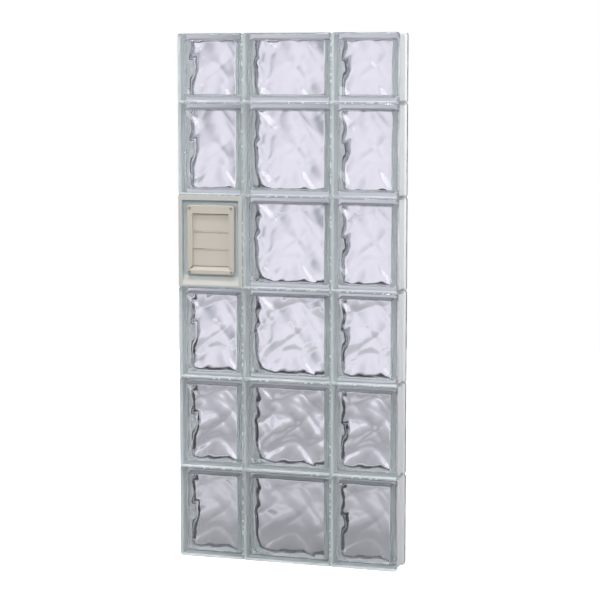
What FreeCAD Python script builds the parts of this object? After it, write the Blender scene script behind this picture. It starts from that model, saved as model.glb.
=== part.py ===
"""Frameless glass block window: hollow wave-pattern blocks in a silicone-jointed grid, with a
louvred duct vent in place of one block. Millimetres. +Z is up, the weather side faces -Y, and the
origin is at the middle of the bottom."""

import os

import FreeCAD
import Part
from FreeCAD import Vector
from math import cos, pi, radians, sin, sqrt

# Grid. Each module is a block plus one joint.
INCH = 25.4
WIDE_MODULE = 7.75 * INCH
NARROW_MODULE = 5.75 * INCH
TALL_MODULE = 7.75 * INCH
SHORT_MODULE = 5.75 * INCH
DEPTH = 3.125 * INCH
JOINT = 1.0
COLUMN_MODULES = (NARROW_MODULE, WIDE_MODULE, NARROW_MODULE)
ROW_MODULES = (SHORT_MODULE,) + (TALL_MODULE,) * 5  # top row first
VENT_CELL = (3, 1)  # row from the top, column from the left

# Glass block.
FACE_CORNER = 5.0
FACE_EDGE = 3.0
RIM_DEPTH = 11.0  # full-size rim at the front and at the back
CHANNEL = 4.0  # depth of the keying channel between the two rims
SEAM_WIDTH = 4.0  # fused seam round the middle of the channel
SEAM_HEIGHT = 1.0
PANE = 7.0  # mean thickness of a face
SIDE_WALL = 6.5  # behind the channel, at the seam
HOLLOW_DRAFT = 3.0  # how much the hollow narrows from the seam to each cove
HOLLOW_CORNER = 6.0
COVE = 5.0  # rounding where a side wall meets a pane

# Wave pattern inside each pane: low swells crossed by rounded ridges.
SWELLS = (  # height, length, direction in degrees, phase in turns
    (0.8, 74.0, 28.0, 0.10),
    (0.7, 63.0, 152.0, 0.35),
)
RIDGES = (  # height, spacing, direction in degrees, phase in half turns
    (1.9, 69.0, 41.0, 0.18),
    (1.9, 79.0, 126.0, 0.42),
    (0.8, 97.0, 83.0, 0.70),
)
RIDGE_SHARPNESS = 2.4
RIDGE_ROUNDING = 0.12
WAVE_BEND = 12.0  # how far the crests wander sideways
WAVE_BEND_LENGTH = 118.0
WAVE_GRID = 6.0  # spacing of the points that each wave surface passes through
WAVE_MARGIN = 1.0

# Sealant.
BEAD_SETBACK = 0.8  # bead surface below the glass face
BEAD_END = 2.0  # the bead stops this far inside the window's outer edge

# Vent housing.
HOUSING_WALL = 2.5
HOUSING_CORNER = 2.0
HOUSING_EDGE = 0.8
RIM_SIDE = 8.0
RIM_TOP = 10.0
RIM_BOTTOM = 4.5
RECESS_DEPTH = 12.0
RECESS_CORNER = 2.5
RAMP_RUN = 18.0  # height of the sloping foot of the recess
DUCT_RADIUS = 51.2  # a 4 in pipe slides in

# Vent hood.
HOOD_SIDE_GAP = 10.5  # between the hood and the recess's side
HOOD_TOP_GAP = 10.0
HOOD_FOOT_GAP = 3.5  # between the hood and the ramp
HOOD_SETBACK = 2.0  # hood face below the rim face
HOOD_CORNER = 8.0
HOOD_EDGE = 2.5
HOOD_WALL = 2.2
HOOD_SIDE_BAR = 12.6
HOOD_END_BAR = 18.8
SILL_DROP = 9.5  # how far the sloping sill runs down the bottom bar

# Louvres.
LOUVRE_NAMES = ("louvre_top", "louvre_middle", "louvre_bottom")
LOUVRE_THICKNESS = 1.5
LOUVRE_TILT = 3.0  # degrees, foot forward
LOUVRE_SIDE_GAP = 0.6
LOUVRE_FOOT_GAP = 0.5
BARREL_RADIUS = 1.7
BARREL_TOP_GAP = 0.6
PIN_RADIUS = 1.2
PIN_CLEARANCE = 0.08
PIN_LENGTH = 2.0  # how far a pin reaches into the hood
PIN_SETBACK = 6.0  # hinge axis behind the hood face
STOP_WIDTH = 2.4  # tabs that a closed louvre rests against
STOP_HEIGHT = 4.0
STOP_PLACE = 0.8  # along the louvre, from its axis
STOP_CLEARANCE = 0.3

# Screws.
SCREW_INSET = 6.5  # from the hood's outer edges
SCREW_HEAD_RADIUS = 2.9
SCREW_HEAD_HEIGHT = 1.8
SCREW_HEAD_EDGE = 1.0
SCREW_SHANK_RADIUS = 1.4
SCREW_HOLE_CLEARANCE = 0.3
SCREW_BITE = 8.0  # how far the shank goes into its boss
SCREW_SLOT_WIDTH = 0.8
SCREW_SLOT_LENGTH = 3.4
SCREW_SLOT_DEPTH = 1.0
BOSS_WALL = 2.0

FRONT = -DEPTH / 2
BACK = DEPTH / 2
FLOOR_Y = FRONT + RECESS_DEPTH
HOOD_Y = FRONT + HOOD_SETBACK
AXIS_Y = HOOD_Y + PIN_SETBACK
X_AXIS = Vector(1, 0, 0)
Y_AXIS = Vector(0, 1, 0)
ORIGIN = Vector(0, 0, 0)


def moved(shape, x, y, z):
    copy = shape.copy()
    copy.translate(Vector(x, y, z))
    return copy


def runs_front_to_back(edge):
    box = edge.BoundBox
    return box.YLength > 1e-3 and box.XLength < 1e-6 and box.ZLength < 1e-6


def edges_at(shape, y):
    """The edges of a shape that lie in the plane at y."""
    return [e for e in shape.Edges if max(abs(e.BoundBox.YMin - y), abs(e.BoundBox.YMax - y)) < 1e-6]


def slab(width, height, near, far, radius=0.0, x=0.0, z=0.0):
    """A plate centred on (x, z), from y = near to y = far, with rounded corners."""
    box = Part.makeBox(width, far - near, height, Vector(x - width / 2, near, z - height / 2))
    if radius > 0:
        return box.makeFillet(radius, [e for e in box.Edges if runs_front_to_back(e)])
    return box


def rod(radius, near, far, x=0.0, z=0.0):
    """A cylinder along Y."""
    return Part.makeCylinder(radius, far - near, Vector(x, near, z), Y_AXIS)


def prism(points, x_from, x_to):
    """A solid along X from a polygon of (y, z) points."""
    corners = [Vector(x_from, y, z) for y, z in points]
    face = Part.Face(Part.makePolygon(corners + corners[:1]))
    return face.extrude(Vector(x_to - x_from, 0, 0))


# ---- grid


def grid_cells():
    """{(row, column): (x, z, width, height)} of every block and of the vent, rows from the top."""
    cells = {}
    top = sum(ROW_MODULES) - JOINT / 2
    for row, row_module in enumerate(ROW_MODULES, 1):
        left = -sum(COLUMN_MODULES) / 2
        for column, column_module in enumerate(COLUMN_MODULES, 1):
            size = (column_module - JOINT, row_module - JOINT)
            cells[row, column] = (left + column_module / 2, top - row_module / 2) + size
            left += column_module
        top -= row_module
    return cells


# ---- glass blocks


def block_body(width, height):
    """The outside of a glass block: two rims, the channel between them and the fused seam."""
    slope_end = FRONT + RIM_DEPTH + CHANNEL
    rim = slab(width, height, FRONT, slope_end, FACE_CORNER)
    rim = rim.makeFillet(FACE_EDGE, edges_at(rim, FRONT))
    rim = rim.makeChamfer(CHANNEL, edges_at(rim, slope_end))
    other_rim = rim.mirror(ORIGIN, Y_AXIS)
    core_corner = FACE_CORNER - CHANNEL
    core = slab(width - 2 * CHANNEL, height - 2 * CHANNEL, FRONT + RIM_DEPTH, BACK - RIM_DEPTH, core_corner)
    inset = CHANNEL - SEAM_HEIGHT
    seam_corner = core_corner + SEAM_HEIGHT
    seam = slab(width - 2 * inset, height - 2 * inset, -SEAM_WIDTH / 2, SEAM_WIDTH / 2, seam_corner)
    return core.fuse([rim, other_rim, seam]).removeSplitter().Solids[0]


def wave_height(x, z):
    """Relief of a pane's inner face at (x, z) from the block's centre: less where the pane is thicker."""
    bent_x = x + WAVE_BEND * sin(2 * pi * z / WAVE_BEND_LENGTH)
    bent_z = z + WAVE_BEND * sin(2 * pi * x / WAVE_BEND_LENGTH)
    total = 0.0
    for height, length, direction, phase in SWELLS:
        along = bent_x * cos(radians(direction)) + bent_z * sin(radians(direction))
        total += height * sin(2 * pi * (along / length + phase))
    for height, spacing, direction, phase in RIDGES:
        along = bent_x * cos(radians(direction)) + bent_z * sin(radians(direction))
        away = sqrt(sin(pi * (along / spacing + phase)) ** 2 + RIDGE_ROUNDING**2)
        total -= height * max(0.0, 1 - away) ** RIDGE_SHARPNESS
    return total


def wave_solid(width, height, side):
    """The glass beyond a pane's wavy inner face, at the front (side -1) or at the back (side 1).
    Both halves of a block come from one mould, so one is the other turned about."""
    columns = int(width / WAVE_GRID) + 2
    rows = int(height / WAVE_GRID) + 2
    points = []
    for i in range(columns):
        x = (i / (columns - 1) - 0.5) * width
        line = []
        for j in range(rows):
            z = (j / (rows - 1) - 0.5) * height
            line.append(Vector(x, side * (BACK - PANE + wave_height(side * x, z)), z))
        points.append(line)
    surface = Part.BSplineSurface()
    surface.interpolate(points)
    return surface.toShape().extrude(Vector(0, side * 2 * PANE, 0))


def hollow(width, height):
    """The sealed hollow of a glass block: widest at the seam, coved at its ends, with wavy panes."""
    at_seam = CHANNEL + SIDE_WALL
    at_cove = at_seam + HOLLOW_DRAFT
    relief = sum(swell[0] for swell in SWELLS) + WAVE_MARGIN
    end = BACK - PANE + relief
    inset_by_depth = ((0.0, at_seam), (end - COVE, at_cove), (end, at_cove + COVE))
    wires = []
    for y, inset in [(-y, i) for y, i in reversed(inset_by_depth[1:])] + list(inset_by_depth):
        section = slab(width - 2 * inset, height - 2 * inset, y, y + 1, HOLLOW_CORNER)
        wires.append([f for f in section.Faces if abs(f.BoundBox.YMax - y) < 1e-6][0].OuterWire)
    body = Part.makeLoft(wires, True, True)
    waves = [wave_solid(width, height, side) for side in (-1, 1)]
    return body.cut(waves).Solids[0]


# ---- sealant


def joint_centres():
    """The centres of the upright joints and of the level joints."""
    uprights = [sum(COLUMN_MODULES[:i]) - sum(COLUMN_MODULES) / 2 for i in range(1, len(COLUMN_MODULES))]
    levels = [sum(ROW_MODULES[i:]) - JOINT / 2 for i in range(1, len(ROW_MODULES))]
    return uprights, levels


def front_sealant(bodies):
    """One grid of beads, shaped by the rounded rims on both sides of each joint."""
    width = sum(COLUMN_MODULES) - JOINT - 2 * BEAD_END
    height = sum(ROW_MODULES) - JOINT - 2 * BEAD_END
    strip = JOINT + 2 * FACE_EDGE
    near, far = FRONT + BEAD_SETBACK, FRONT + RIM_DEPTH
    uprights, levels = joint_centres()
    strips = [slab(strip, height, near, far, x=x, z=BEAD_END + height / 2) for x in uprights]
    strips += [slab(width, strip, near, far, z=z) for z in levels]
    return strips[0].fuse(strips[1:]).removeSplitter().cut(bodies).Solids[0]


# ---- vent, in coordinates from the middle of its cell


def housing_body(width, height):
    body = slab(width, height, FRONT, BACK, HOUSING_CORNER)
    return body.makeFillet(HOUSING_EDGE, edges_at(body, FRONT) + edges_at(body, BACK))


def recess(width, height, wall):
    """The recess in the housing's front, grown by a wall, with its sloping foot."""
    top = height / 2 - RIM_TOP + wall
    bottom = -height / 2 + RIM_BOTTOM - wall
    span = width - 2 * RIM_SIDE + 2 * wall
    body = slab(span, top - bottom, FRONT, FLOOR_Y + wall, RECESS_CORNER + wall, z=(top + bottom) / 2)
    ramp = ((FRONT + wall, bottom), (FLOOR_Y + wall, bottom), (FLOOR_Y + wall, bottom + RAMP_RUN))
    return body.cut(prism(ramp, -span, span))


def hood_place(width, height):
    """The hood's width, height and middle above the middle of the cell."""
    top = height / 2 - RIM_TOP - HOOD_TOP_GAP
    bottom = -height / 2 + RIM_BOTTOM + RAMP_RUN + HOOD_FOOT_GAP
    return width - 2 * (RIM_SIDE + HOOD_SIDE_GAP), top - bottom, (top + bottom) / 2


def screw_points(width, height):
    """Where the screws stand, by name."""
    hood_width, hood_height, middle = hood_place(width, height)
    x, z = hood_width / 2 - SCREW_INSET, hood_height / 2 - SCREW_INSET
    return {
        "screw_top_left": (-x, middle + z),
        "screw_top_right": (x, middle + z),
        "screw_bottom_left": (-x, middle - z),
        "screw_bottom_right": (x, middle - z),
    }


def vent_housing(width, height):
    """Closed plastic box with a recessed front, screw bosses and a duct socket through it."""
    middle = hood_place(width, height)[2]
    points = screw_points(width, height).values()
    inner = [width - 2 * HOUSING_WALL, height - 2 * HOUSING_WALL]
    inside = slab(*inner, FRONT + HOUSING_WALL, BACK - HOUSING_WALL)
    kept = [recess(width, height, HOUSING_WALL), rod(DUCT_RADIUS + HOUSING_WALL, FLOOR_Y, BACK, z=middle)]
    boss_end = FLOOR_Y + SCREW_BITE + BOSS_WALL
    kept += [rod(SCREW_SHANK_RADIUS + BOSS_WALL, FLOOR_Y, boss_end, x, z) for x, z in points]
    holes = [recess(width, height, 0.0), rod(DUCT_RADIUS, FRONT, BACK, z=middle)]
    holes += [rod(SCREW_SHANK_RADIUS, FRONT, FLOOR_Y + SCREW_BITE, x, z) for x, z in points]
    return housing_body(width, height).cut(inside.cut(kept)).cut(holes).removeSplitter().Solids[0]


def opening_size(width, height):
    hood_width, hood_height, _ = hood_place(width, height)
    return hood_width - 2 * HOOD_SIDE_BAR, hood_height - 2 * HOOD_END_BAR


def louvre_axes(width, height):
    """The height of each hinge axis above the middle of the cell, top first, and their spacing."""
    opening_height = opening_size(width, height)[1]
    spacing = opening_height / len(LOUVRE_NAMES)
    first = hood_place(width, height)[2] + opening_height / 2 - BARREL_TOP_GAP - BARREL_RADIUS
    return [first - i * spacing for i in range(len(LOUVRE_NAMES))], spacing


def louvre_length(spacing):
    """From the hinge axis to the foot."""
    return spacing - BARREL_RADIUS - LOUVRE_FOOT_GAP


def sill_cut(opening_width, opening_height):
    """Wedge with mitred ends that slopes the bottom bar outward, so that rain runs off it."""
    over = 1.0
    depth = AXIS_Y - HOOD_Y
    drop = SILL_DROP * (depth + over) / depth
    half, bottom, front = opening_width / 2, -opening_height / 2, HOOD_Y - over
    inner = [Vector(side * half, AXIS_Y, bottom) for side in (-1, 1)]
    top = [Vector(side * half, front, bottom) for side in (-1, 1)]
    lip = [Vector(side * (half + drop), front, bottom - drop) for side in (-1, 1)]
    loops = (
        (inner[0], inner[1], lip[1], lip[0]),
        (top[0], top[1], lip[1], lip[0]),
        (inner[0], inner[1], top[1], top[0]),
        (inner[0], top[0], lip[0]),
        (inner[1], top[1], lip[1]),
    )
    faces = [Part.Face(Part.makePolygon(list(loop) + [loop[0]])) for loop in loops]
    return Part.makeSolid(Part.makeShell(faces))


def stop_tabs(width, height):
    """Two tabs behind each louvre's foot, a small clearance behind the closed louvre."""
    opening_width, _ = opening_size(width, height)
    axes, spacing = louvre_axes(width, height)
    reach = STOP_PLACE * louvre_length(spacing)
    tilt = radians(LOUVRE_TILT)
    near = AXIS_Y + (LOUVRE_THICKNESS / 2 + STOP_CLEARANCE) / cos(tilt) - reach * sin(tilt)
    x = (opening_width - STOP_WIDTH) / 2
    tabs = []
    for axis_z in axes:
        z = axis_z - reach * cos(tilt)
        rise = STOP_HEIGHT / 2 * sin(tilt)
        tabs += [slab(STOP_WIDTH, STOP_HEIGHT, near + rise, FLOOR_Y, x=side * x, z=z) for side in (-1, 1)]
    return tabs


def vent_hood(width, height):
    """Moulded frame, hollow at the back, with a sloping sill, pin holes and stop tabs."""
    hood_width, hood_height, middle = hood_place(width, height)
    opening_width, opening_height = opening_size(width, height)
    points = screw_points(width, height).values()
    body = slab(hood_width, hood_height, HOOD_Y, FLOOR_Y, HOOD_CORNER)
    body = body.makeFillet(HOOD_EDGE, edges_at(body, HOOD_Y))
    inner = [hood_width - 2 * HOOD_WALL, hood_height - 2 * HOOD_WALL]
    trough = slab(*inner, HOOD_Y + HOOD_WALL, FLOOR_Y, HOOD_CORNER - HOOD_WALL)
    bar_walls = slab(opening_width + 2 * HOOD_WALL, opening_height + 2 * HOOD_WALL, HOOD_Y, FLOOR_Y)
    sill_wall = moved(sill_cut(opening_width, opening_height), 0, HOOD_WALL, -HOOD_WALL)
    body = body.cut(trough.cut([bar_walls, sill_wall]))
    opening = slab(opening_width, opening_height, HOOD_Y, FLOOR_Y)
    body = body.cut([opening, sill_cut(opening_width, opening_height)])
    body = moved(body, 0, 0, middle)
    hole_radius = SCREW_SHANK_RADIUS + SCREW_HOLE_CLEARANCE
    bosses = [rod(hole_radius + BOSS_WALL, HOOD_Y + HOOD_WALL / 2, FLOOR_Y, x, z) for x, z in points]
    body = body.fuse(bosses + stop_tabs(width, height))
    holes = [rod(hole_radius, HOOD_Y, FLOOR_Y, x, z) for x, z in points]
    reach = opening_width + 2 * HOOD_WALL
    for z in louvre_axes(width, height)[0]:
        start = Vector(-reach / 2, AXIS_Y, z)
        holes.append(Part.makeCylinder(PIN_RADIUS + PIN_CLEARANCE, reach, start, X_AXIS))
    return body.cut(holes).removeSplitter().Solids[0]


def louvre(width, height, axis_z, spacing):
    """A flap with its barrel and two pins, tilted foot forward about its axis."""
    opening_width, _ = opening_size(width, height)
    flap_width = opening_width - 2 * LOUVRE_SIDE_GAP
    length = louvre_length(spacing)
    flap = slab(flap_width, length, -LOUVRE_THICKNESS / 2, LOUVRE_THICKNESS / 2, z=-length / 2)
    foot = [e for e in flap.Edges if e.BoundBox.ZMax < 1e-6 - length and e.BoundBox.XLength > flap_width / 2]
    flap = flap.makeFillet(0.4 * LOUVRE_THICKNESS, foot)
    barrel = Part.makeCylinder(BARREL_RADIUS, flap_width, Vector(-flap_width / 2, 0, 0), X_AXIS)
    pins_length = opening_width + 2 * PIN_LENGTH
    pins = Part.makeCylinder(PIN_RADIUS, pins_length, Vector(-pins_length / 2, 0, 0), X_AXIS)
    piece = flap.fuse([barrel, pins]).removeSplitter().Solids[0]
    piece.rotate(ORIGIN, X_AXIS, -LOUVRE_TILT)
    return moved(piece, 0, AXIS_Y, axis_z)


def hood_screw(x, z):
    """Pan-head screw with a cross slot: head on the hood, shank in the housing's boss."""
    head = rod(SCREW_HEAD_RADIUS, HOOD_Y - SCREW_HEAD_HEIGHT, HOOD_Y, x, z)
    head = head.makeFillet(SCREW_HEAD_EDGE, edges_at(head, HOOD_Y - SCREW_HEAD_HEIGHT))
    shank = rod(SCREW_SHANK_RADIUS, HOOD_Y, FLOOR_Y + SCREW_BITE, x, z)
    slot_y = HOOD_Y - SCREW_HEAD_HEIGHT
    slots = [
        slab(SCREW_SLOT_LENGTH, SCREW_SLOT_WIDTH, slot_y, slot_y + SCREW_SLOT_DEPTH, x=x, z=z),
        slab(SCREW_SLOT_WIDTH, SCREW_SLOT_LENGTH, slot_y, slot_y + SCREW_SLOT_DEPTH, x=x, z=z),
    ]
    return head.fuse(shank).cut(slots).removeSplitter().Solids[0]


def vent_pieces(width, height):
    pieces = {"vent_housing": vent_housing(width, height), "vent_hood": vent_hood(width, height)}
    axes, spacing = louvre_axes(width, height)
    for name, axis_z in zip(LOUVRE_NAMES, axes):
        pieces[name] = louvre(width, height, axis_z, spacing)
    for name, (x, z) in screw_points(width, height).items():
        pieces[name] = hood_screw(x, z)
    return pieces


def main():
    os.makedirs("parts", exist_ok=True)
    pieces, bodies, made = {}, [], {}
    for (row, column), (x, z, width, height) in grid_cells().items():
        if (row, column) == VENT_CELL:
            bodies.append(moved(housing_body(width, height), x, 0, z))
            for name, piece in vent_pieces(width, height).items():
                pieces[name] = moved(piece, x, 0, z)
            continue
        if (width, height) not in made:
            body = block_body(width, height)
            made[width, height] = body, body.cut(hollow(width, height)).Solids[0]
        body, block = made[width, height]
        bodies.append(moved(body, x, 0, z))
        pieces[f"glass_block_r{row}_c{column}"] = moved(block, x, 0, z)
    pieces["front_sealant"] = front_sealant(bodies)
    pieces["back_sealant"] = pieces["front_sealant"].mirror(ORIGIN, Y_AXIS)
    for name, piece in pieces.items():
        piece.exportStep(f"parts/{name}.step")


main()
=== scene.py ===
"""Looks of a frameless glass block window with a louvred duct vent.

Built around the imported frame, in metres: +Z up, the weather side faces -Y.
"""

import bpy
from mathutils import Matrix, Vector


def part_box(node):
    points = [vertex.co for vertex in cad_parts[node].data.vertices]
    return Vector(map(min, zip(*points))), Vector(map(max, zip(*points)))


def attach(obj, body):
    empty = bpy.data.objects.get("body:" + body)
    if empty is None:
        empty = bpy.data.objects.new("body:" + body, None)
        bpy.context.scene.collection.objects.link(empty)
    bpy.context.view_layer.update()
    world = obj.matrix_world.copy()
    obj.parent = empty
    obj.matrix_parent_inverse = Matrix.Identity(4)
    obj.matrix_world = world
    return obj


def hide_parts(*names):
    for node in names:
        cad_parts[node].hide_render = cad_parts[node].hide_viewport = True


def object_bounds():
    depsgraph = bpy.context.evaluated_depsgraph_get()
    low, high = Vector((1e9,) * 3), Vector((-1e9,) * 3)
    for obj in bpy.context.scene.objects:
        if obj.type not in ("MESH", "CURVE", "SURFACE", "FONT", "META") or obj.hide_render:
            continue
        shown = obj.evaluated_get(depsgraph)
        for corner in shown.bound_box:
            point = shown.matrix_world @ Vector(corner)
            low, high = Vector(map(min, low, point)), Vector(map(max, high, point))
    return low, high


bl_info = {
    "name": "Glass block window",
    "version": (1, 0, 0),
    "blender": (4, 5, 0),
    "location": "View3D > Sidebar > Glass window",
    "description": "Builds the blocks, joints, vent and studio of a glass block window",
    "category": "Add Mesh",
}

from math import cos, pi, radians, sin, sqrt

import bmesh
import bpy
from bpy.props import FloatProperty, FloatVectorProperty, PointerProperty
from mathutils import Matrix, Vector, noise

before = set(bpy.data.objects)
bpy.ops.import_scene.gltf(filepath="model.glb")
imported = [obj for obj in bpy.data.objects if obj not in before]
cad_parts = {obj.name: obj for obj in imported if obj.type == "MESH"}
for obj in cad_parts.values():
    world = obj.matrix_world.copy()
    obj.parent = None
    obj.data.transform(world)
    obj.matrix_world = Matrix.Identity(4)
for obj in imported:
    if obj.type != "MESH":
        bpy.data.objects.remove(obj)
CAD_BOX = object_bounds()
PANEL = "panel"
LOUVRES = ("louvre_top", "louvre_middle", "louvre_bottom")
BLOCKS = sorted(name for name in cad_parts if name.startswith("glass_block"))
SCREWS = sorted(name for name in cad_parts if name.startswith("screw"))

MM = 0.001

# Glass block, in millimetres, as the frame's solids have it.
FACE_CORNER = 5.0
FACE_EDGE = 3.0
RIM_DEPTH = 11.0
CHANNEL = 4.0
SEAM_WIDTH = 4.0
SEAM_HEIGHT = 1.0
PANE = 7.0
SIDE_WALL = 6.5
HOLLOW_DRAFT = 3.0
HOLLOW_CORNER = 6.0

# Relief of the panes' inner faces: swells (height, length, direction, phase)
# and ridges (height, spacing, direction, phase), with the solids' heights and spacings.
SWELLS = (
    (0.8, 74.0, 28.0, 0.10),
    (0.7, 63.0, 152.0, 0.35),
)
RIDGES = (
    (1.9, 69.0, 41.0, 0.18),
    (1.9, 79.0, 126.0, 0.42),
    (0.8, 97.0, 83.0, 0.70),
)
RIDGE_SHARPNESS = 2.4
RIDGE_ROUNDING = 0.12
BEND = 12.0
BEND_LENGTH = 118.0
# The crests' wander, its length, and where the front and the back pane lie in its noise.
WANDER = 26.0
WANDER_LENGTH = 66.0
WANDER_PLACES = (2.1, 5.6)
WANDER_APART = Vector((0.0, 0.0, 9.0))

# Meshes of the hollow. Pairs are for the front and the back pane.
GRID_STEP = 2.3
CROWDING = 0.6
COVES = (3.0, 6.5)
COVE_WANDERS = (0.0, 0.95)
COVE_WANDER_LENGTH = 15.0
COVE_WANDER_PLACE = 20.0
# Share of the cove's radius over which the back pane takes a darker glass: a painted shade line.
COVE_SHADE = 0.6
WALL_RINGS = 14
WALL_RIPPLE = 0.24
WALL_RIPPLE_LENGTH = 7.0
WALL_RIPPLE_ROUND = 90.0
EDGE_STEPS = 5
CORNER_SEGMENTS = 6
CREASE_ANGLE = 35.0

# Material slots of a block.
COATED_SLOT = 1
# This slot holds the darker glass of the back pane's cove, a painted shade line.
COVE_SHADE_SLOT = 2

# Surfaces: the pattern's size and the relief's height in millimetres, and how strongly it shows.
FIRE_POLISH = (12.0, 0.02, 0.5)
BRUSH_MARKS = (5.0, 0.1, 0.3)
FINGER_TOOLING = (9.0, 0.3, 0.4)
MOULD_GRAIN = (0.8, 0.05, 0.15)
ENAMEL_RUNS = (1.2, 0.05, 0.3)
BRUSH_STRETCH = (1.0, 1.0, 0.12)
PLASTIC_CLOUD = 60.0
PLASTIC_CLOUD_SHADE = 0.93

GLASS_IOR = 1.52
SILICONE_IOR = 1.41
PLASTIC_IOR = 1.49

# The Mix node's sockets for colours.
MIX_FIRST = 6
MIX_SECOND = 7
MIX_RESULT = 2

# The housing's recess: its place inside the housing's box, and how softly its painted shade starts. Its
# cooler, darker colour is painted shade.
RECESS_SIDE = 5.0
RECESS_FRONT = 3.0
RECESS_BACK = 17.0
RECESS_FOOT = 18.0
RECESS_HEAD = 3.0
RECESS_BLEND = 3.0
RECESS_SHADE_COLOUR = "#c6d1d5"

# Camera: the window's height and its shift to the left, as shares of the frame.
SENSOR_MM = 36.0
LENS_MM = 120.0
OBJECT_SHARE = 0.876667
ASIDE_SHARE = 0.013333

# The room round the window, as gloss and glass see it.
CARD_EVERY = 36.0
CARD_TURN = -2.5
HEIGHT_FALL = 6.0
CARD_LEVELS = (-3.0, 1.0)
FLAG_PLACE = 0.66
CARD_PLACE = 0.985
CARD_COLOUR = "#f7f1ff"
FLAG_COLOUR = "#aeafba"
DARK_COLOUR = "#777e80"
# The room's even light on plain surfaces, and on those seen through glass.
ROOM_LIGHT = 0.5
ROOM_COLOUR = "#f4f6fa"
LIGHT_THROUGH_GLASS = 4.2
THROUGH_GLASS_COLOUR = "#f5fafb"

# Floor, in metres. Its bands are (distance from the middle, brightness through glass), a glow of painted
# light and shade.
FLOOR_RADIUS = 3.4
FLOOR_SEGMENTS = 96
FLOOR_COLOUR = "#f6f3ff"
FLOOR_GLOW = 0.84
FLOOR_BANDS = (
    (0.0, 0.16),
    (0.3, 0.27),
    (0.5, 0.37),
    (0.85, 0.56),
    (1.3, 0.27),
    (1.9, 0.36),
    (2.5, 0.45),
    (2.9, 0.56),
    (3.4, 0.82),
)
FLOOR_PAINT = 0.4
# The floor's paint as glass sees it is darker: a painted shade.
FLOOR_PAINT_THROUGH_GLASS = 0.12
SUN_ON_FLOOR = 0.18
SUN_COLOUR = "#efe9ff"
SUN_SOFTNESS = 8.0
SUN_ELEVATION = 25.0
SUN_DISTANCE = 5.0

# Lamps: name, size, power, azimuth, elevation, distance, colour, and the rays that don't see it.
LAMPS = (
    ("key", 2.2, 57.0, 20.0, 28.0, 4.0, "#fffdf8", ("visible_glossy",)),
    ("side", 1.6, 38.0, 82.0, 12.0, 3.0, "#ffffff", ()),
    ("top", 0.5, 24.0, -20.0, 72.0, 2.6, "#ffffff", ()),
    ("left", 0.4, 16.0, -62.0, 18.0, 3.0, "#ffffff", ()),
    ("back", 2.0, 48.0, 205.0, 22.0, 3.5, "#ffffff", ("visible_glossy", "visible_transmission")),
)


# ---- colours and nodes


def srgb(text, alpha=1.0):
    """An sRGB hex colour as linear RGBA."""
    values = [int(text[i : i + 2], 16) / 255 for i in (1, 3, 5)]
    linear = [v / 12.92 if v <= 0.04045 else ((v + 0.055) / 1.055) ** 2.4 for v in values]
    return (*linear, alpha)


def rgb(text):
    """The same colour without its alpha."""
    return srgb(text)[:3]


def grey(level):
    """A neutral colour of a linear level."""
    return (level, level, level, 1.0)


def add_node(material, kind, settings=None, **inputs):
    """Adds a node to a material or world. settings maps a property's name or an input's number, and
    inputs an input's name with spaces written as _, to a value or to the output that feeds it."""
    node = material.node_tree.nodes.new(kind)
    for name, value in (settings or {}).items():
        if isinstance(name, str):
            setattr(node, name, value)
        else:
            inputs[name] = value
    for name, value in inputs.items():
        socket = node.inputs[name.replace("_", " ") if isinstance(name, str) else name]
        if isinstance(value, bpy.types.NodeSocket):
            material.node_tree.links.new(value, socket)
        else:
            socket.default_value = value
    return node


def new_material(name):
    """A material with no nodes yet."""
    material = bpy.data.materials.new(name)
    material.use_nodes = True
    material.node_tree.nodes.clear()
    return material


def finish_material(material, surface, volume=None):
    """Links a surface, and a body if it has one, to the material's output."""
    output = add_node(material, "ShaderNodeOutputMaterial", Surface=surface)
    if volume:
        material.node_tree.links.new(volume, output.inputs["Volume"])
    return material


def surface_relief(material, place, relief, detail=2.0):
    """A surface's uneven pattern at its real size, and the bump it makes. relief is the pattern's
    size and height in millimetres and its strength. Returns both outputs."""
    size, height, strength = relief
    pattern = add_node(
        material, "ShaderNodeTexNoise", Scale=1 / (size * MM), Detail=detail, Vector=place
    )
    bump = add_node(
        material,
        "ShaderNodeBump",
        Strength=strength,
        Distance=height * MM,
        Height=pattern.outputs[0],
    )
    return pattern.outputs[0], bump.outputs[0]


def pressed_glass(settings, name="pressed_soda_lime_glass", tint=None):
    """Soda-lime glass pressed in a mould and fire-polished."""
    # It is clear and bright at its faces, and grey-green where the eye looks along a wall.
    # The polish leaves a faint long ripple, which bends what shows in it.
    material = new_material(name)
    place = add_node(material, "ShaderNodeTexCoord").outputs["Object"]
    _, ripple = surface_relief(material, place, FIRE_POLISH, detail=1.0)
    shader = add_node(
        material,
        "ShaderNodeBsdfPrincipled",
        Base_Color=(*(tint or settings.glass_tint), 1.0),
        Roughness=settings.glass_roughness,
        IOR=GLASS_IOR,
        Transmission_Weight=1.0,
        Normal=ripple,
    )
    body = add_node(
        material,
        "ShaderNodeVolumeAbsorption",
        Color=(*settings.glass_body, 1.0),
        Density=settings.glass_density,
    )
    return finish_material(material, shader.outputs[0], body.outputs[0])


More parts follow.
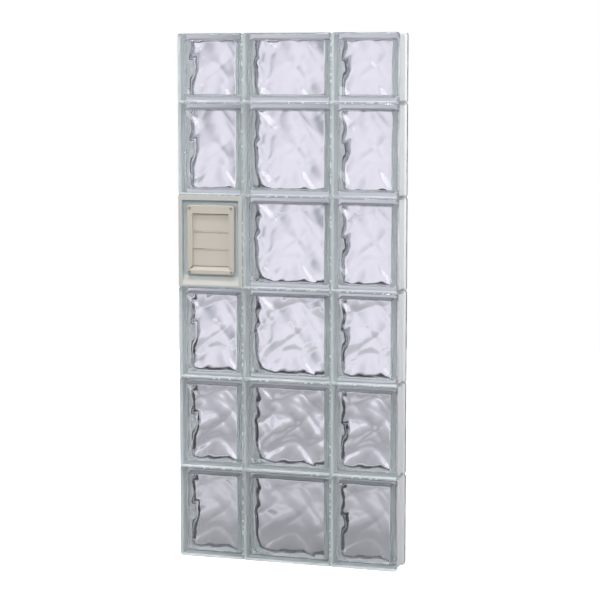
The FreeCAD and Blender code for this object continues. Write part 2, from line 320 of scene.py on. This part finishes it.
def edge_coating(settings):
    """Bonding coat brushed on the sides of a glass block."""
    # It is satin, half see-through and a little white, in long brush marks.
    material = new_material("brushed_edge_coating")
    place = add_node(material, "ShaderNodeTexCoord").outputs["Object"]
    stretched = add_node(material, "ShaderNodeMapping", Scale=BRUSH_STRETCH, Vector=place)
    strokes, bump = surface_relief(material, stretched.outputs[0], BRUSH_MARKS, detail=3.0)
    film = add_node(
        material,
        "ShaderNodeMix",
        {"data_type": "RGBA", MIX_FIRST: srgb("#e6eae9"), MIX_SECOND: srgb("#fbfcfc")},
        Factor=strokes,
    )
    shader = add_node(
        material,
        "ShaderNodeBsdfPrincipled",
        Base_Color=film.outputs[MIX_RESULT],
        Roughness=0.35,
        IOR=GLASS_IOR,
        Transmission_Weight=0.3,
        Normal=bump,
    )
    body = add_node(
        material,
        "ShaderNodeVolumeAbsorption",
        Color=(*settings.glass_body, 1.0),
        Density=settings.glass_density,
    )
    return finish_material(material, shader.outputs[0], body.outputs[0])


def clear_silicone(settings):
    """Clear silicone sealant, tooled with a wet finger."""
    # It is see-through, a little milky and satin, and unevenly smooth where the finger went.
    material = new_material("clear_silicone_sealant")
    place = add_node(material, "ShaderNodeTexCoord").outputs["Object"]
    tooling, bump = surface_relief(material, place, FINGER_TOOLING)
    cloudy = add_node(material, "ShaderNodeMapRange", Value=tooling, To_Min=0.18, To_Max=0.34)
    shader = add_node(
        material,
        "ShaderNodeBsdfPrincipled",
        Base_Color=(*settings.sealant_colour, 1.0),
        Roughness=cloudy.outputs[0],
        IOR=SILICONE_IOR,
        Transmission_Weight=0.5,
        Normal=bump,
    )
    return finish_material(material, shader.outputs[0])


def share_inside(material, place, low, high):
    """How far inside a box a point lies: 0 on its walls and outside, and 1 past a short blend."""
    from_middle = add_node(
        material, "ShaderNodeVectorMath", {"operation": "SUBTRACT", 0: place, 1: (low + high) / 2}
    )
    distance = add_node(
        material, "ShaderNodeVectorMath", {"operation": "ABSOLUTE", 0: from_middle.outputs[0]}
    )
    beyond = add_node(
        material,
        "ShaderNodeVectorMath",
        {"operation": "SUBTRACT", 0: distance.outputs[0], 1: (high - low) / 2},
    )
    x, y, z = add_node(material, "ShaderNodeSeparateXYZ", Vector=beyond.outputs[0]).outputs
    beside = add_node(material, "ShaderNodeMath", {"operation": "MAXIMUM", 0: x, 1: z})
    outside = add_node(material, "ShaderNodeMath", {"operation": "MAXIMUM", 0: beside.outputs[0], 1: y})
    share = add_node(
        material,
        "ShaderNodeMapRange",
        Value=outside.outputs[0],
        From_Min=0.0,
        From_Max=-RECESS_BLEND * MM,
    )
    return share.outputs[0]


def moulded_plastic(name, colour, roughness, recess=None):
    """Injection-moulded ABS. recess is the lowest and the highest corner of a recess that takes a painted
    shade.
    """
    # Its colour is even with a faint cloudiness, over a fine moulded grain. A recess, if given, takes a
    # cooler painted shade.
    material = new_material(name)
    place = add_node(material, "ShaderNodeTexCoord").outputs["Object"]
    clouds = add_node(
        material, "ShaderNodeTexNoise", Scale=1 / (PLASTIC_CLOUD * MM), Detail=3.0, Vector=place
    )
    shade = (*[PLASTIC_CLOUD_SHADE * c for c in colour], 1.0)
    tone = add_node(
        material,
        "ShaderNodeMix",
        {"data_type": "RGBA", MIX_FIRST: shade, MIX_SECOND: (*colour, 1.0)},
        Factor=clouds.outputs[0],
    )
    # Painted shade: inside the recess the colour turns cooler and darker, standing in for its shadow.
    if recess:
        tone = add_node(
            material,
            "ShaderNodeMix",
            {
                "data_type": "RGBA",
                MIX_FIRST: tone.outputs[MIX_RESULT],
                MIX_SECOND: srgb(RECESS_SHADE_COLOUR),
            },
            Factor=share_inside(material, place, *recess),
        )
    _, bump = surface_relief(material, place, MOULD_GRAIN)
    shader = add_node(
        material,
        "ShaderNodeBsdfPrincipled",
        Base_Color=tone.outputs[MIX_RESULT],
        Roughness=roughness,
        IOR=PLASTIC_IOR,
        Normal=bump,
    )
    return finish_material(material, shader.outputs[0])


def enamelled_steel():
    """Cold-headed steel screws, stove-enamelled a little darker than the hood."""
    # The enamel is glossy, and runs unevenly.
    material = new_material("stove_enamelled_steel")
    place = add_node(material, "ShaderNodeTexCoord").outputs["Object"]
    runs, bump = surface_relief(material, place, ENAMEL_RUNS)
    paint = add_node(
        material,
        "ShaderNodeMix",
        {"data_type": "RGBA", MIX_FIRST: srgb("#958e83"), MIX_SECOND: srgb("#b9b2a7")},
        Factor=runs,
    )
    shader = add_node(
        material,
        "ShaderNodeBsdfPrincipled",
        Base_Color=paint.outputs[MIX_RESULT],
        Roughness=0.3,
        Normal=bump,
    )
    return finish_material(material, shader.outputs[0])


# ---- mesh helpers


def dress(node, material):
    """Gives a CAD node its finish."""
    node.data.materials.clear()
    node.data.materials.append(material)


def finish_piece(bm, name, materials, body):
    """Turns a bmesh in millimetres into a piece in metres that rides on a body."""
    bmesh.ops.scale(bm, vec=(MM, MM, MM), verts=bm.verts)
    for face in bm.faces:
        face.smooth = True
    for edge in bm.edges:
        edge.smooth = len(edge.link_faces) == 2 and edge.calc_face_angle(0.0) < radians(CREASE_ANGLE)
    mesh = bpy.data.meshes.new(name)
    bm.to_mesh(mesh)
    bm.free()
    for material in materials:
        mesh.materials.append(material)
    piece = bpy.data.objects.new(name, mesh)
    bpy.context.scene.collection.objects.link(piece)
    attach(piece, body)
    return piece


def boundary_edges(bm, faces):
    """The edges that only one of the faces has, in the faces' own order."""
    chosen = set(faces)
    return [e for f in faces for e in f.edges if sum(g in chosen for g in e.link_faces) == 1]


def rounded_rectangle(bm, width, height, corner, y, segments):
    """One face in the plane at y, with rounded corners, centred on the Y axis."""
    grid = bmesh.ops.create_grid(bm, x_segments=1, y_segments=1, size=0.5)
    corners = grid["verts"]
    bmesh.ops.scale(bm, vec=(width, height, 1), verts=corners)
    bmesh.ops.rotate(bm, matrix=Matrix.Rotation(pi / 2, 3, "X"), verts=corners)
    bmesh.ops.translate(bm, vec=(0, y, 0), verts=corners)
    bmesh.ops.bevel(
        bm,
        geom=corners,
        offset=corner,
        segments=segments,
        profile=0.5,
        affect="VERTICES",
        material=-1,
    )
    return bm.faces[:][-1]


def inset_point(x, z, width, height, corner, inset):
    """A point on a rounded rectangle's outline, moved inwards square to the outline."""
    centre_x = max(-(width / 2 - corner), min(width / 2 - corner, x))
    centre_z = max(-(height / 2 - corner), min(height / 2 - corner, z))
    away = Vector((x - centre_x, z - centre_z))
    if away.length < 1e-6:
        return x, z
    away.normalize()
    return x - away.x * inset, z - away.y * inset


def stacked_shell(width, height, corner, stations, segments):
    """A closed shell through rounded rectangles: stations are (inset, y) from front to back."""
    bm = bmesh.new()
    face = rounded_rectangle(bm, width, height, corner, stations[0][1], segments)
    outline = {v: (v.co.x, v.co.z) for v in face.verts}
    for vert in face.verts:
        x, z = inset_point(*outline[vert], width, height, corner, stations[0][0])
        vert.co = (x, stations[0][1], z)
    ring = list(face.edges)
    for inset, y in stations[1:]:
        grown = bmesh.ops.extrude_edge_only(bm, edges=ring)["geom"]
        old = {v for e in ring for v in e.verts}
        new = [g for g in grown if isinstance(g, bmesh.types.BMVert)]
        twins = {}
        for vert in new:
            for edge in vert.link_edges:
                other = edge.other_vert(vert)
                if other in old:
                    twins[vert] = other
        for vert in new:
            outline[vert] = outline[twins[vert]]
            x, z = inset_point(*outline[vert], width, height, corner, inset)
            vert.co = (x, y, z)
        ring = [g for g in grown if isinstance(g, bmesh.types.BMEdge)]
        ring = [e for e in ring if all(v in twins for v in e.verts)]
    bmesh.ops.contextual_create(bm, geom=ring)
    bmesh.ops.recalc_face_normals(bm, faces=bm.faces)
    return bm


# ---- glass blocks


def wave_height(x, z, side):
    """Relief of a pane's inner face: low swells crossed by rounded ridges, in millimetres.
    The crests wander more than on the solids, and not the same way in the two panes."""
    spot = Vector((x / WANDER_LENGTH, z / WANDER_LENGTH, WANDER_PLACES[side > 0]))
    across = WANDER * noise.noise(spot)
    up = WANDER * noise.noise(spot + WANDER_APART)
    x, z = (
        x + BEND * sin(2 * pi * z / BEND_LENGTH) + across,
        z + BEND * sin(2 * pi * x / BEND_LENGTH) + up,
    )
    total = 0.0
    for height, length, direction, phase in SWELLS:
        along = x * cos(radians(direction)) + z * sin(radians(direction))
        total += height * sin(2 * pi * (along / length + phase))
    for height, spacing, direction, phase in RIDGES:
        along = x * cos(radians(direction)) + z * sin(radians(direction))
        away = sqrt(sin(pi * (along / spacing + phase)) ** 2 + RIDGE_ROUNDING**2)
        total -= height * max(0.0, 1 - away) ** RIDGE_SHARPNESS
    return total


def cove_height(distance, radius):
    """How far the rounding between a pane and a side wall stands above the pane."""
    if distance >= radius:
        return 0.0
    return radius - sqrt(radius**2 - (radius - max(distance, 0.0)) ** 2)


def edge_distance(x, z, half_width, half_height, corner):
    """Distance of a point inside a rounded rectangle from its outline."""
    over_x = abs(x) - (half_width - corner)
    over_z = abs(z) - (half_height - corner)
    if over_x > 0 and over_z > 0:
        return corner - sqrt(over_x**2 + over_z**2)
    return min(half_width - abs(x), half_height - abs(z))


def wave_pane(bm, half_width, half_height, side, pane_y):
    """The dense wavy end of the hollow. Returns its faces. Faces near the back pane's cove take a darker
    glass, a painted shade line.
    """
    steps_x = int(half_width / GRID_STEP)
    steps_z = int(half_height / GRID_STEP)
    made = bmesh.ops.create_grid(bm, x_segments=2 * steps_x, y_segments=2 * steps_z, size=1.0)
    verts = made["verts"]
    shaded = set()
    for vert in verts:
        u, v = vert.co.x, vert.co.y
        x = half_width * ((1 - CROWDING) * u + CROWDING * sin(pi * u / 2))
        z = half_height * ((1 - CROWDING) * v + CROWDING * sin(pi * v / 2))
        over_x = (abs(x) - half_width) / HOLLOW_CORNER + 1
        over_z = (abs(z) - half_height) / HOLLOW_CORNER + 1
        if over_x > 0 and over_z > 0:
            arc_x = HOLLOW_CORNER * (over_x * sqrt(1 - over_z**2 / 2) - over_x)
            arc_z = HOLLOW_CORNER * (over_z * sqrt(1 - over_x**2 / 2) - over_z)
            x += arc_x if x > 0 else -arc_x
            z += arc_z if z > 0 else -arc_z
        spot = Vector((x, side * COVE_WANDER_PLACE, z)) / COVE_WANDER_LENGTH
        radius = COVES[side > 0] * (1 + COVE_WANDERS[side > 0] * noise.noise(spot))
        away = edge_distance(x, z, half_width, half_height, HOLLOW_CORNER)
        depth = pane_y + wave_height(side * x, z, side) - cove_height(away, radius)
        vert.co = (x, side * depth, z)
        # Painted shade: near the back pane's cove the faces are marked for a darker glass.
        if side > 0 and away < COVE_SHADE * radius:
            shaded.add(vert)
    faces = list(dict.fromkeys(face for vert in verts for face in vert.link_faces))
    for face in faces:
        if all(vert in shaded for vert in face.verts):
            face.material_index = COVE_SHADE_SLOT
    return faces


def hollow_shell(width, height, depth):
    """The inner wall of a glass block, facing into the hollow."""
    bm = bmesh.new()
    at_cove = CHANNEL + SIDE_WALL + HOLLOW_DRAFT
    half_width, half_height = width / 2 - at_cove, height / 2 - at_cove
    rings = []
    for side in (-1, 1):
        faces = wave_pane(bm, half_width, half_height, side, depth / 2 - PANE)
        rings.append(boundary_edges(bm, faces))
    ring = rings[0]
    box = (2 * half_width, 2 * half_height, HOLLOW_CORNER)
    outline = {v: v.co.copy() for e in ring for v in e.verts}
    end = depth / 2 - PANE - max(COVES)
    for step in range(WALL_RINGS + 1):
        y = -end + 2 * end * step / WALL_RINGS
        grown = bmesh.ops.extrude_edge_only(bm, edges=ring)["geom"]
        old = {v for e in ring for v in e.verts}
        new = {g for g in grown if isinstance(g, bmesh.types.BMVert)}
        for vert in new:
            twin = next(e.other_vert(vert) for e in vert.link_edges if e.other_vert(vert) in old)
            outline[vert] = outline[twin]
            flat = outline[vert]
            spot = Vector((flat.x / WALL_RIPPLE_ROUND, y / WALL_RIPPLE_LENGTH, flat.z / WALL_RIPPLE_ROUND))
            out = HOLLOW_DRAFT * (1 - abs(y) / end) + WALL_RIPPLE * noise.noise(spot)
            x, z = inset_point(flat.x, flat.z, *box, -out)
            vert.co = (x, y, z)
        ring = [g for g in grown if isinstance(g, bmesh.types.BMEdge)]
        ring = [e for e in ring if all(v in new for v in e.verts)]
    bmesh.ops.bridge_loops(bm, edges=ring + rings[1])
    bmesh.ops.recalc_face_normals(bm, faces=bm.faces)
    bmesh.ops.reverse_faces(bm, faces=bm.faces)
    return bm


def body_stations(depth):
    """The profile of a glass block from front to back, as (inset, y)."""
    half = depth / 2
    front = []
    for i in range(EDGE_STEPS + 1):
        turn = pi / 2 * i / EDGE_STEPS
        front.append((FACE_EDGE * (1 - sin(turn)), -half + FACE_EDGE * (1 - cos(turn))))
    front.append((0.0, -half + RIM_DEPTH))
    front.append((CHANNEL, -half + RIM_DEPTH + CHANNEL))
    front.append((CHANNEL, -SEAM_WIDTH / 2))
    front.append((CHANNEL - SEAM_HEIGHT, -SEAM_WIDTH / 2 + SEAM_HEIGHT / 2))
    return front + [(inset, -y) for inset, y in reversed(front)]


def joined(first, second):
    """Adds the second bmesh to the first."""
    mesh = bpy.data.meshes.new("scratch")
    second.to_mesh(mesh)
    second.free()
    first.from_mesh(mesh)
    bpy.data.meshes.remove(mesh)
    return first


class GBW_PG_settings(bpy.types.PropertyGroup):
    """Sizes and colours of the window's looks."""

    glass_tint: FloatVectorProperty(
        name="Glass surface tint", description="Colour that each glass face passes", subtype="COLOR",
        default=rgb("#fcfdfd"), min=0, max=1,
    )
    glass_body: FloatVectorProperty(
        name="Glass body colour", description="Colour of a long way through the glass", subtype="COLOR",
        default=rgb("#adb7bb"), min=0, max=1,
    )
    glass_density: FloatProperty(
        name="Glass body density", description="How fast the body colour builds up, per metre",
        default=10.0, min=0, max=200,
    )
    glass_roughness: FloatProperty(
        name="Glass roughness", description="Micro-roughness of the fire-polished faces",
        default=0.0, min=0, max=1,
    )
    sealant_colour: FloatVectorProperty(
        name="Sealant colour", description="Colour of the clear silicone", subtype="COLOR",
        default=rgb("#e2e8ea"), min=0, max=1,
    )
    housing_colour: FloatVectorProperty(
        name="Housing colour", description="Colour of the vent's housing", subtype="COLOR",
        default=rgb("#cbccc8"), min=0, max=1,
    )
    hood_colour: FloatVectorProperty(
        name="Hood colour", description="Colour of the vent's hood and louvres", subtype="COLOR",
        default=rgb("#cec8bd"), min=0, max=1,
    )
    camera_azimuth: FloatProperty(
        name="Camera azimuth", description="Camera's turn to the right", subtype="ANGLE",
        default=radians(18.5), min=-pi, max=pi,
    )
    camera_elevation: FloatProperty(
        name="Camera elevation", description="Camera's angle above the window's middle", subtype="ANGLE",
        default=radians(6.3), min=-pi / 2, max=pi / 2,
    )


class GBW_OT_glass_blocks(bpy.types.Operator):
    """Build the hollow glass blocks"""

    bl_idname = "gbw.glass_blocks"
    bl_label = "Glass blocks"

    def execute(self, context):
        settings = context.scene.gbw
        glass = pressed_glass(settings)
        coated = edge_coating(settings)
        # A darker glass for the back pane's cove, drawn as a painted shade line.
        cove_shade_glass = pressed_glass(settings, "painted_shade_glass_at_the_cove", rgb("#a3acae"))
        for name in BLOCKS:
            low, high = (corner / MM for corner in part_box(name))
            width, depth, height = high - low
            outer = stacked_shell(width, height, FACE_CORNER, body_stations(depth), CORNER_SEGMENTS)
            for face in outer.faces:
                if abs(face.calc_center_median().y) < depth / 2 - RIM_DEPTH:
                    face.material_index = COATED_SLOT
            bm = joined(outer, hollow_shell(width, height, depth))
            bmesh.ops.translate(bm, vec=(low + high) / 2, verts=bm.verts)
            piece = finish_piece(bm, f"{name}_glass", (glass, coated, cove_shade_glass), PANEL)
            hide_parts(name)
        return {"FINISHED"}


class GBW_OT_sealant(bpy.types.Operator):
    """Finish the silicone joints"""

    bl_idname = "gbw.sealant"
    bl_label = "Sealant"

    def execute(self, context):
        material = clear_silicone(context.scene.gbw)
        for name in ("front_sealant", "back_sealant"):
            dress(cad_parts[name], material)
        return {"FINISHED"}


class GBW_OT_vent(bpy.types.Operator):
    """Finish the louvred vent"""

    bl_idname = "gbw.vent"
    bl_label = "Vent"

    def execute(self, context):
        settings = context.scene.gbw
        low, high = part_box("vent_housing")
        recess_low = low + Vector((RECESS_SIDE, RECESS_FRONT, RECESS_FOOT)) * MM
        recess_high = Vector((high.x, low.y, high.z))
        recess_high += Vector((-RECESS_SIDE, RECESS_BACK, -RECESS_HEAD)) * MM
        recess = (recess_low, recess_high)
        # The housing's recess takes a painted shade in its colour.
        housing = moulded_plastic("moulded_housing_plastic", settings.housing_colour, 0.45, recess)
        hood = moulded_plastic("moulded_hood_plastic", settings.hood_colour, 0.5)
        steel = enamelled_steel()
        dress(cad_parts["vent_housing"], housing)
        for name in ("vent_hood", *LOUVRES):
            dress(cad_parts[name], hood)
        for name in SCREWS:
            dress(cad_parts[name], steel)
        return {"FINISHED"}


# ---- studio


def seen_in_gloss(material, path):
    """1 for the rays that gloss and glass send out, and 0 for others."""
    either = add_node(
        material,
        "ShaderNodeMath",
        {
            "operation": "MAXIMUM",
            0: path.outputs["Is Glossy Ray"],
            1: path.outputs["Is Transmission Ray"],
        },
    )
    return either.outputs[0]


def room_cards(world, azimuth):
    """White cards and grey flags in turn round the room, darker above and below."""
    place = add_node(world, "ShaderNodeTexCoord").outputs["Generated"]
    x, y, z = add_node(world, "ShaderNodeSeparateXYZ", Vector=place).outputs
    turn = add_node(world, "ShaderNodeMath", {"operation": "ARCTAN2", 0: y, 1: x})
    cards = 360 / CARD_EVERY
    phase = add_node(
        world,
        "ShaderNodeMath",
        {
            "operation": "MULTIPLY_ADD",
            0: turn.outputs[0],
            1: cards,
            2: -cards * (radians(90 + CARD_TURN) + azimuth),
        },
    )
    around_room = add_node(world, "ShaderNodeMath", {"operation": "COSINE", 0: phase.outputs[0]})
    square = add_node(world, "ShaderNodeMath", {"operation": "MULTIPLY", 0: z, 1: z})
    level = add_node(
        world,
        "ShaderNodeMath",
        {
            "operation": "MULTIPLY_ADD",
            0: square.outputs[0],
            1: -HEIGHT_FALL,
            2: around_room.outputs[0],
        },
    )
    lowest, highest = CARD_LEVELS
    share = add_node(
        world, "ShaderNodeMapRange", Value=level.outputs[0], From_Min=lowest, From_Max=highest
    )
    card = add_node(world, "ShaderNodeValToRGB", Fac=share.outputs[0])
    dark, bright = card.color_ramp.elements
    dark.position = 0.0
    dark.color = srgb(DARK_COLOUR)
    bright.position = CARD_PLACE
    bright.color = srgb(CARD_COLOUR)
    card.color_ramp.elements.new(FLAG_PLACE).color = srgb(FLAG_COLOUR)
    return card.outputs[0]


def stage_world(azimuth):
    """Even light for plain surfaces, cards for gloss and glass, and a white backdrop."""
    world = bpy.data.worlds.new("studio")
    bpy.context.scene.world = world
    world.use_nodes = True
    world.node_tree.nodes.clear()
    path = add_node(world, "ShaderNodeLightPath")
    even = add_node(world, "ShaderNodeBackground", Color=srgb(ROOM_COLOUR), Strength=ROOM_LIGHT)
    cards = add_node(world, "ShaderNodeBackground", Color=room_cards(world, azimuth), Strength=1.0)
    room = add_node(
        world,
        "ShaderNodeMixShader",
        {1: even.outputs[0], 2: cards.outputs[0]},
        Fac=seen_in_gloss(world, path),
    )
    # Light reaches a plain surface behind glass only through the glass, so it is stronger there.
    inside = add_node(
        world,
        "ShaderNodeMath",
        {
            "operation": "MULTIPLY",
            "use_clamp": True,
            0: path.outputs["Diffuse Depth"],
            1: path.outputs["Is Transmission Ray"],
        },
    )
    strong = add_node(
        world,
        "ShaderNodeBackground",
        Color=srgb(THROUGH_GLASS_COLOUR),
        Strength=LIGHT_THROUGH_GLASS,
    )
    lit = add_node(
        world,
        "ShaderNodeMixShader",
        {1: room.outputs[0], 2: strong.outputs[0]},
        Fac=inside.outputs[0],
    )
    white = add_node(world, "ShaderNodeBackground", Color=grey(1.0), Strength=1.0)
    shown = add_node(
        world,
        "ShaderNodeMixShader",
        {1: lit.outputs[0], 2: white.outputs[0]},
        Fac=path.outputs["Is Camera Ray"],
    )
    add_node(world, "ShaderNodeOutputWorld", Surface=shown.outputs[0])


def floor_bands(material):
    """Soft lighter and darker rings of glow on the floor, painted light and shade which give the glass
    something to bend.
    """
    place = add_node(material, "ShaderNodeTexCoord").outputs["Object"]
    away = add_node(material, "ShaderNodeVectorMath", {"operation": "LENGTH", 0: place})
    share = add_node(
        material, "ShaderNodeMapRange", Value=away.outputs["Value"], From_Max=FLOOR_RADIUS
    )
    bands = add_node(material, "ShaderNodeValToRGB", Fac=share.outputs[0])
    ramp = bands.color_ramp
    ramp.interpolation = "EASE"
    ramp.elements[0].color = grey(FLOOR_BANDS[0][1])
    ramp.elements[1].color = grey(FLOOR_BANDS[-1][1])
    for metres, level in FLOOR_BANDS[1:-1]:
        ramp.elements.new(metres / FLOOR_RADIUS).color = grey(level)
    return bands.outputs[0]


def painted_floor():
    """Matt emulsion on a smooth floor."""
    # It looks white and keeps the window's shadow. Gloss and glass see its bands, a glow of painted light
    # and shade, over a paint that is darker for them, a painted shade.
    material = new_material("pale_floor")
    path = add_node(material, "ShaderNodeLightPath")
    seen = path.outputs["Is Camera Ray"]
    through = add_node(
        material,
        "ShaderNodeMath",
        {"operation": "MULTIPLY", 0: seen_in_gloss(material, path), 1: floor_bands(material)},
    )
    direct = add_node(material, "ShaderNodeMath", {"operation": "MULTIPLY", 0: seen, 1: FLOOR_GLOW})
    lit = add_node(
        material, "ShaderNodeMath", {"operation": "ADD", 0: through.outputs[0], 1: direct.outputs[0]}
    )
    coat = add_node(
        material,
        "ShaderNodeMapRange",
        Value=seen,
        To_Min=FLOOR_PAINT_THROUGH_GLASS,
        To_Max=FLOOR_PAINT,
    )
    paint = add_node(material, "ShaderNodeBsdfDiffuse", Color=coat.outputs[0])
    glow = add_node(
        material, "ShaderNodeEmission", Color=srgb(FLOOR_COLOUR), Strength=lit.outputs[0]
    )
    total = add_node(material, "ShaderNodeAddShader", {0: paint.outputs[0], 1: glow.outputs[0]})
    return finish_material(material, total.outputs[0])


def stage_floor():
    """A round pale floor under the window."""
    bm = bmesh.new()
    bmesh.ops.create_circle(bm, cap_ends=True, segments=FLOOR_SEGMENTS, radius=FLOOR_RADIUS)
    mesh = bpy.data.meshes.new("floor")
    bm.to_mesh(mesh)
    bm.free()
    floor = bpy.data.objects.new("floor", mesh)
    bpy.context.scene.collection.objects.link(floor)
    mesh.materials.append(painted_floor())
    return floor


def around(azimuth, elevation, distance, target):
    """A point at a distance from the target, azimuth towards +X from the front."""
    flat = distance * cos(elevation)
    return Vector(target) + Vector((flat * sin(azimuth), -flat * cos(azimuth), distance * sin(elevation)))


def aim(thing, place, target):
    """Puts a lamp or a camera at a place and turns it to the target."""
    thing.location = place
    thing.rotation_euler = (Vector(target) - Vector(place)).to_track_quat("-Z", "Y").to_euler()


def floor_sun(floor, azimuth, elevation):
    """A sun for the floor alone: it lays the window's shadow behind it."""
    lamp = bpy.data.lights.new("floor_sun", "SUN")
    lamp.angle = radians(SUN_SOFTNESS)
    lamp.color = rgb(SUN_COLOUR)
    lamp.energy = SUN_ON_FLOOR * pi / (FLOOR_PAINT * sin(elevation))
    holder = bpy.data.objects.new("floor_sun", lamp)
    bpy.context.scene.collection.objects.link(holder)
    aim(holder, around(azimuth, elevation, SUN_DISTANCE, (0, 0, 0)), (0, 0, 0))
    lit = bpy.data.collections.new("lit_by_floor_sun")
    lit.objects.link(floor)
    holder.light_linking.receiver_collection = lit


def add_lamp(name, size, power, place, target, colour):
    """A round soft lamp, with its size in metres and its power in watts."""
    lamp = bpy.data.lights.new(name, "AREA")
    lamp.shape = "DISK"
    lamp.size = size
    lamp.energy = power
    lamp.color = colour
    holder = bpy.data.objects.new(name, lamp)
    bpy.context.scene.collection.objects.link(holder)
    aim(holder, place, target)
    return holder


class GBW_OT_stage(bpy.types.Operator):
    """Set up the floor, the light and the camera"""

    bl_idname = "gbw.stage"
    bl_label = "Stage"

    def execute(self, context):
        settings = context.scene.gbw
        azimuth, elevation = settings.camera_azimuth, settings.camera_elevation
        low, high = (Vector(corner) for corner in CAD_BOX)
        middle = (low + high) / 2
        stage_world(azimuth)
        floor_sun(stage_floor(), azimuth, radians(SUN_ELEVATION))
        for name, size, power, turn, rise, distance, colour, unseen_by in LAMPS:
            place = around(radians(turn), radians(rise), distance, middle)
            lamp = add_lamp(name, size, power, place, middle, rgb(colour))
            for rays in unseen_by:
                setattr(lamp, rays, False)
        data = bpy.data.cameras.new("camera")
        camera = bpy.data.objects.new("camera", data)
        context.scene.collection.objects.link(camera)
        context.scene.camera = camera
        data.sensor_width = SENSOR_MM
        data.lens = LENS_MM
        reach = LENS_MM / SENSOR_MM
        distance = reach * (high.z - low.z) * cos(elevation) / OBJECT_SHARE
        right = Vector((cos(azimuth), sin(azimuth), 0))
        target = middle + right * ASIDE_SHARE * distance / reach
        aim(camera, around(azimuth, elevation, distance, target), target)
        context.scene.view_settings.view_transform = "Standard"
        return {"FINISHED"}


class GBW_PT_window(bpy.types.Panel):
    """Lists the steps that build the window"""

    bl_idname = "GBW_PT_window"
    bl_label = "Glass block window"
    bl_space_type = "VIEW_3D"
    bl_region_type = "UI"
    bl_category = "Glass window"

    def draw(self, context):
        for kind in OPERATORS:
            self.layout.operator(kind.bl_idname)


OPERATORS = (GBW_OT_glass_blocks, GBW_OT_sealant, GBW_OT_vent, GBW_OT_stage)
CLASSES = (GBW_PG_settings, *OPERATORS, GBW_PT_window)


def register():
    """Registers the classes and the window's settings."""
    for kind in CLASSES:
        bpy.utils.register_class(kind)
    bpy.types.Scene.gbw = PointerProperty(type=GBW_PG_settings)


def unregister():
    """Takes them away again."""
    del bpy.types.Scene.gbw
    for kind in reversed(CLASSES):
        bpy.utils.unregister_class(kind)


def main():
    """Builds the window."""
    register()
    bpy.ops.gbw.glass_blocks()
    bpy.ops.gbw.sealant()
    bpy.ops.gbw.vent()
    bpy.ops.gbw.stage()


if __name__ == "__main__":
    main()
